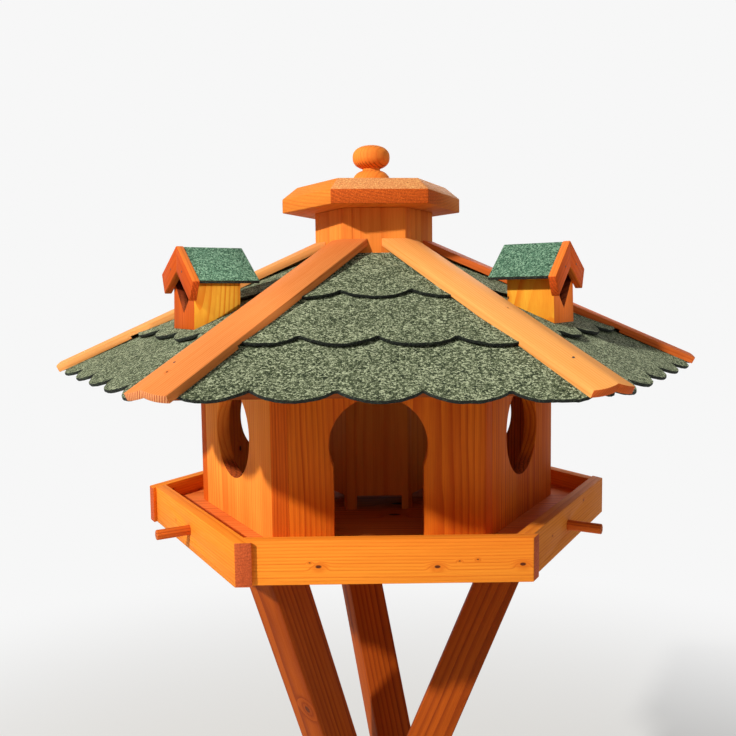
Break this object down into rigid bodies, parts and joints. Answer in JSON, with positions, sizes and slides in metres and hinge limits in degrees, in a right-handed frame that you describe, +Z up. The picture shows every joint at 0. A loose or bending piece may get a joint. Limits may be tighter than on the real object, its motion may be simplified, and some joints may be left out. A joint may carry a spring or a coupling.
{
  "type": "bird feeder",
  "caption": "Six-sided wooden garden bird feeder on crossed legs, with a railed tray, a walled house, a seed silo and a shingled roof under a lift-off lid.",
  "frame": {"origin": "on the ground under the centre of the six-sided house", "axes": "+Z up, the door side faces -Y, +X to the right seen from the door side"},
  "size_m": [0.712, 0.6318, 1.3664],
  "materials": {
    "floor_wood": "satin stain",
    "rail_wood": "satin stain",
    "wall_wood": "satin stain",
    "silo_wood": "satin stain",
    "deck_wood": "satin stain",
    "batten_wood": "satin stain",
    "dormer_wood": "satin stain",
    "bargeboard_wood": "satin stain",
    "lid_wood": "satin stain",
    "knob_wood": "satin stain",
    "perch_wood": "satin stain",
    "leg_wood": "satin stain",
    "shingle_felt": "mineral-surfaced roofing felt",
    "dormer_felt": "mineral-surfaced roofing felt"
  },
  "bodies": {
    "feeder": {"floor": "floor_wood", "rail_front": "rail_wood", "rail_front_right": "rail_wood", "rail_back_right": "rail_wood", "rail_back": "rail_wood", "rail_back_left": "rail_wood", "rail_front_left": "rail_wood", "wall_front": "wall_wood", "wall_front_right": "wall_wood", "wall_back_right": "wall_wood", "wall_back": "wall_wood", "wall_back_left": "wall_wood", "wall_front_left": "wall_wood", "silo_front": "silo_wood", "silo_front_right": "silo_wood", "silo_back_right": "silo_wood", "silo_back": "silo_wood", "silo_back_left": "silo_wood", "silo_front_left": "silo_wood", "deck_front": "deck_wood", "deck_front_right": "deck_wood", "deck_back_right": "deck_wood", "deck_back": "deck_wood", "deck_back_left": "deck_wood", "deck_front_left": "deck_wood", "shingles_lower": "shingle_felt", "shingles_middle": "shingle_felt", "shingles_upper": "shingle_felt", "batten_right": "batten_wood", "batten_back_right": "batten_wood", "batten_back_left": "batten_wood", "batten_left": "batten_wood", "batten_front_left": "batten_wood", "batten_front_right": "batten_wood", "dormer_left": "dormer_wood", "dormer_right": "dormer_wood", "dormer_bargeboards": "bargeboard_wood", "dormer_felts": "dormer_felt", "perches": "perch_wood", "leg_right": "leg_wood", "leg_back": "leg_wood", "leg_front": "leg_wood"},
    "lid": {"lid_board": "lid_wood", "lid_plug": "lid_wood", "lid_knob": "knob_wood"}
  },
  "joints": [
    {"name": "lid_lift", "type": "slide", "parent": "feeder", "child": "lid", "axis": [0, 0, 1], "range_m": [0, 0.06]}
  ]
}
